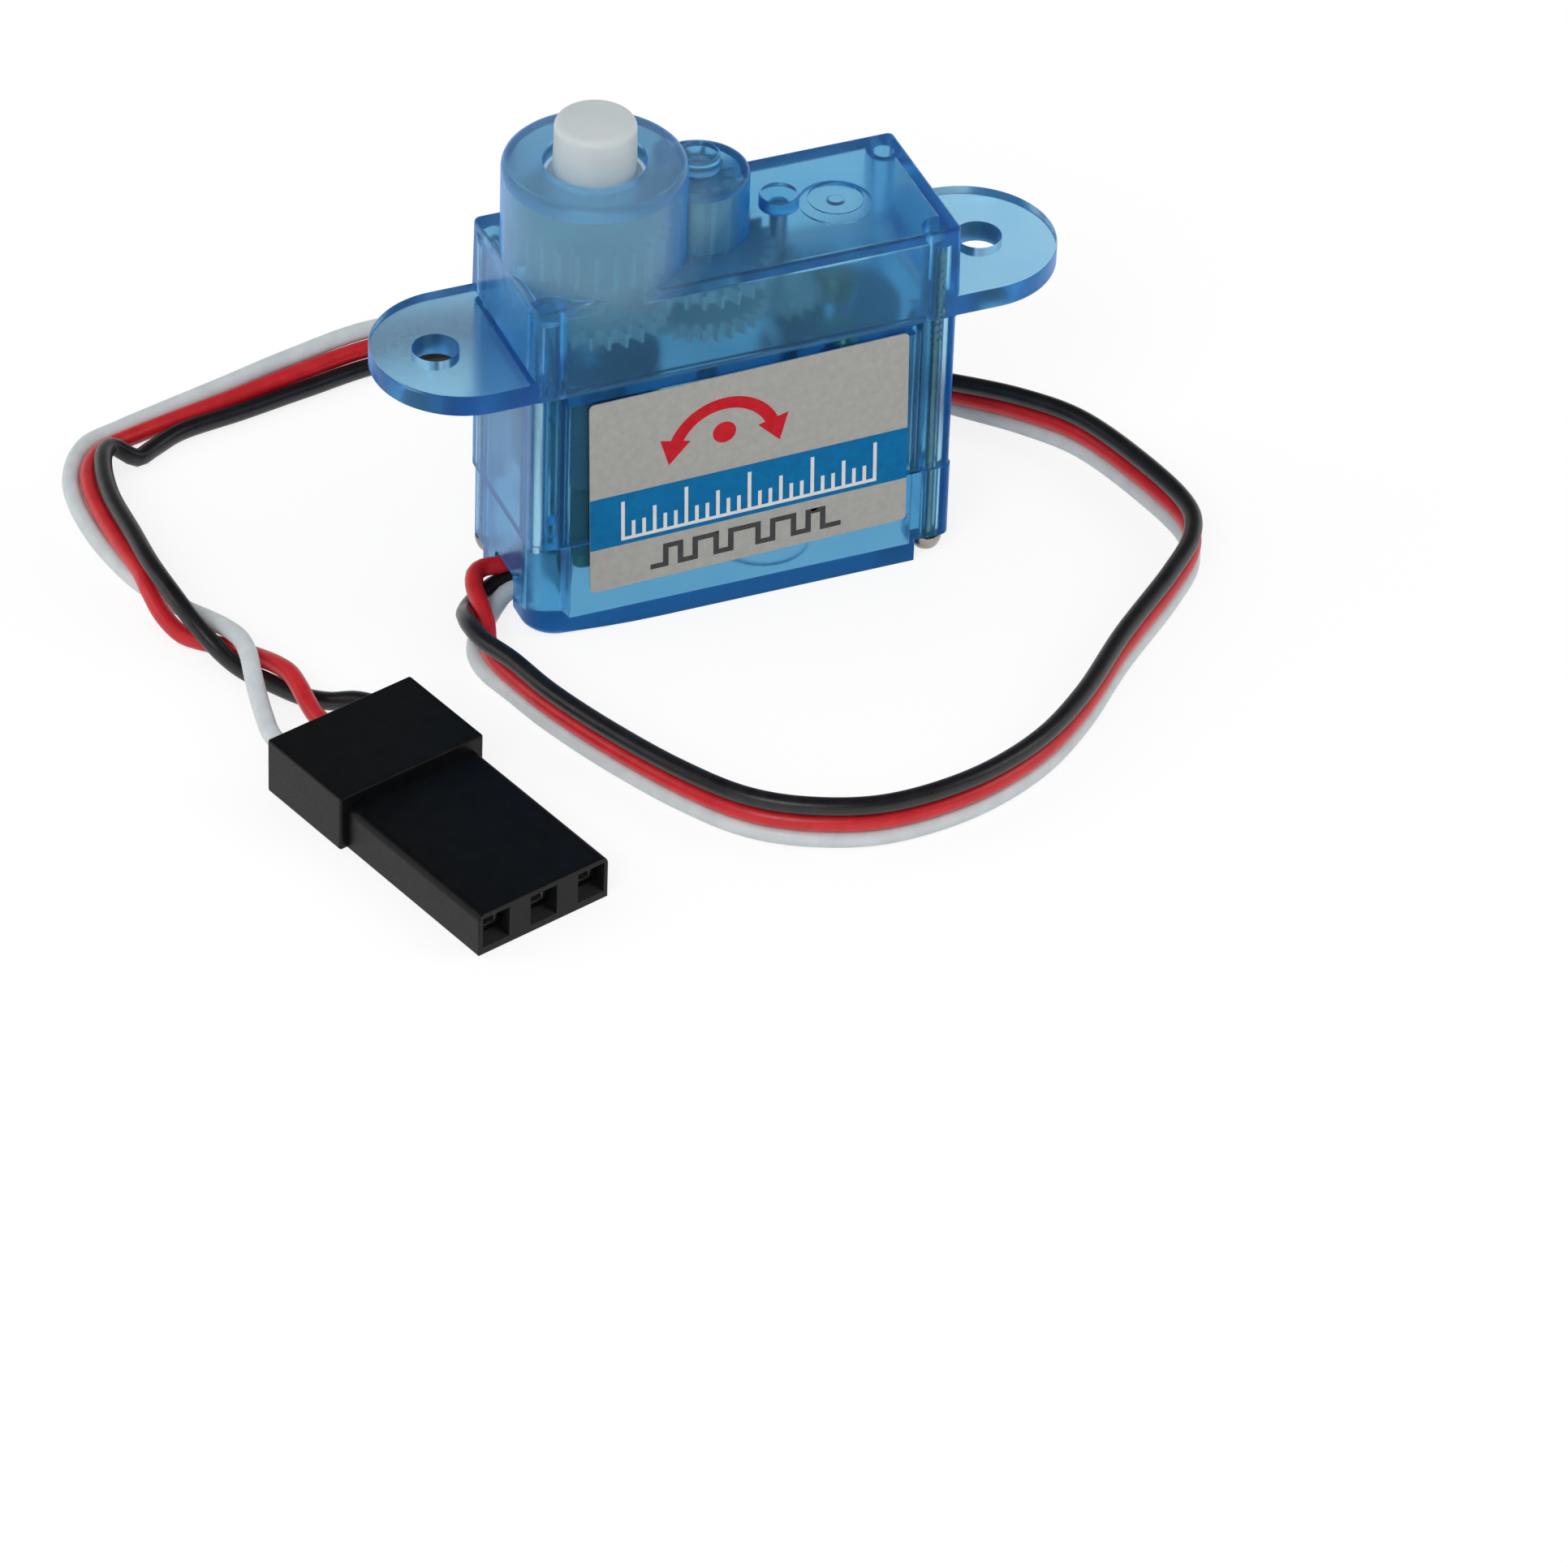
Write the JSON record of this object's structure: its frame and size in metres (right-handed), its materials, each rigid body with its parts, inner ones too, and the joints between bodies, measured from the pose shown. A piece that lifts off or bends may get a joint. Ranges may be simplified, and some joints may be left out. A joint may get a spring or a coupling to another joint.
{
  "type": "hobby servo motor",
  "caption": "Micro hobby servo in a clear blue case with mounting ears, a geared output shaft, and a ribbon lead ending in a flat connector plug.",
  "frame": {"origin": "middle of the case in X and Y, at the underside it stands on", "axes": "+X towards the motor end of the case, -Y out of the label, +Z along the output shaft"},
  "size_m": [0.0468, 0.0431, 0.0245],
  "materials": {
    "clear_blue": "clear tinted plastic with a fine moulded frost",
    "white_nylon": "natural nylon, satin",
    "steel": "plain steel",
    "brass": "machined",
    "tinned": "tinned",
    "black_plastic": "moulded, satin",
    "grey_plastic": "moulded, matt",
    "copper": "wound and bare copper",
    "ferrite": "sintered, matt",
    "board_green": "solder mask",
    "label_film": "printed film",
    "black_insulation": "soft insulation",
    "red_insulation": "soft insulation",
    "white_insulation": "soft insulation"
  },
  "bodies": {
    "case": {"top_cover": "clear_blue", "middle_case": "clear_blue", "bottom_cover": "clear_blue", "case_screw_front": "steel", "case_screw_rear": "steel", "first_gear_pin": "steel", "idler_pin": "steel", "motor_can": "steel", "front_label": "label_film", "motor_end_cap": "grey_plastic", "pot_body": "grey_plastic", "motor_magnet": "ferrite", "pot_cover": "tinned", "motor_lead_front": "tinned", "motor_lead_rear": "tinned", "pot_lead_left": "tinned", "pot_lead_middle": "tinned", "pot_lead_right": "tinned", "plug_contact_1": "tinned", "plug_contact_2": "tinned", "plug_contact_3": "tinned", "circuit_board": "board_green", "control_chip": "black_plastic", "driver_chip": "black_plastic", "capacitor": "black_plastic", "plug_housing": "black_plastic", "wire_black": "black_insulation", "wire_red": "red_insulation", "wire_white": "white_insulation"},
    "output": {"output_gear": "white_nylon", "pot_wiper": "white_nylon"},
    "fourth": {"fourth_gear": "white_nylon"},
    "third": {"third_gear": "white_nylon"},
    "second": {"second_gear": "white_nylon"},
    "first": {"first_gear": "white_nylon"},
    "rotor": {"motor_pinion": "brass", "motor_shaft": "steel", "motor_armature": "copper", "motor_commutator": "copper"}
  },
  "joints": [
    {"name": "output_turn", "type": "hinge", "parent": "case", "child": "output", "pos_m": [-0.00585, 0, 0.018], "axis": [0, 0, 1], "range_deg": [-90, 90]},
    {"name": "fourth_turn", "type": "hinge", "parent": "case", "child": "fourth", "pos_m": [-0.001, 0, 0.018], "axis": [0, 0, 1], "range_deg": [-210, 210]},
    {"name": "third_turn", "type": "hinge", "parent": "case", "child": "third", "pos_m": [-0.00585, 0, 0.018], "axis": [0, 0, 1], "range_deg": [-440, 440]},
    {"name": "second_turn", "type": "hinge", "parent": "case", "child": "second", "pos_m": [-0.001, 0, 0.018], "axis": [0, 0, 1], "range_deg": [-910, 910]},
    {"name": "first_turn", "type": "hinge", "parent": "case", "child": "first", "pos_m": [0.00299, 0.00031, 0.018], "axis": [0, 0, 1], "range_deg": [-3130, 3130]},
    {"name": "rotor_turn", "type": "hinge", "parent": "case", "child": "rotor", "pos_m": [0.00557, 0, 0.018], "axis": [0, 0, 1], "range_deg": [-7020, 7020]}
  ],
  "couplings": [
    {"joint": "first_turn", "follows": "rotor_turn", "ratio": -0.44444},
    {"joint": "second_turn", "follows": "rotor_turn", "ratio": 0.12903},
    {"joint": "third_turn", "follows": "rotor_turn", "ratio": -0.062127},
    {"joint": "fourth_turn", "follows": "rotor_turn", "ratio": 0.029913},
    {"joint": "output_turn", "follows": "rotor_turn", "ratio": -0.01282}
  ]
}
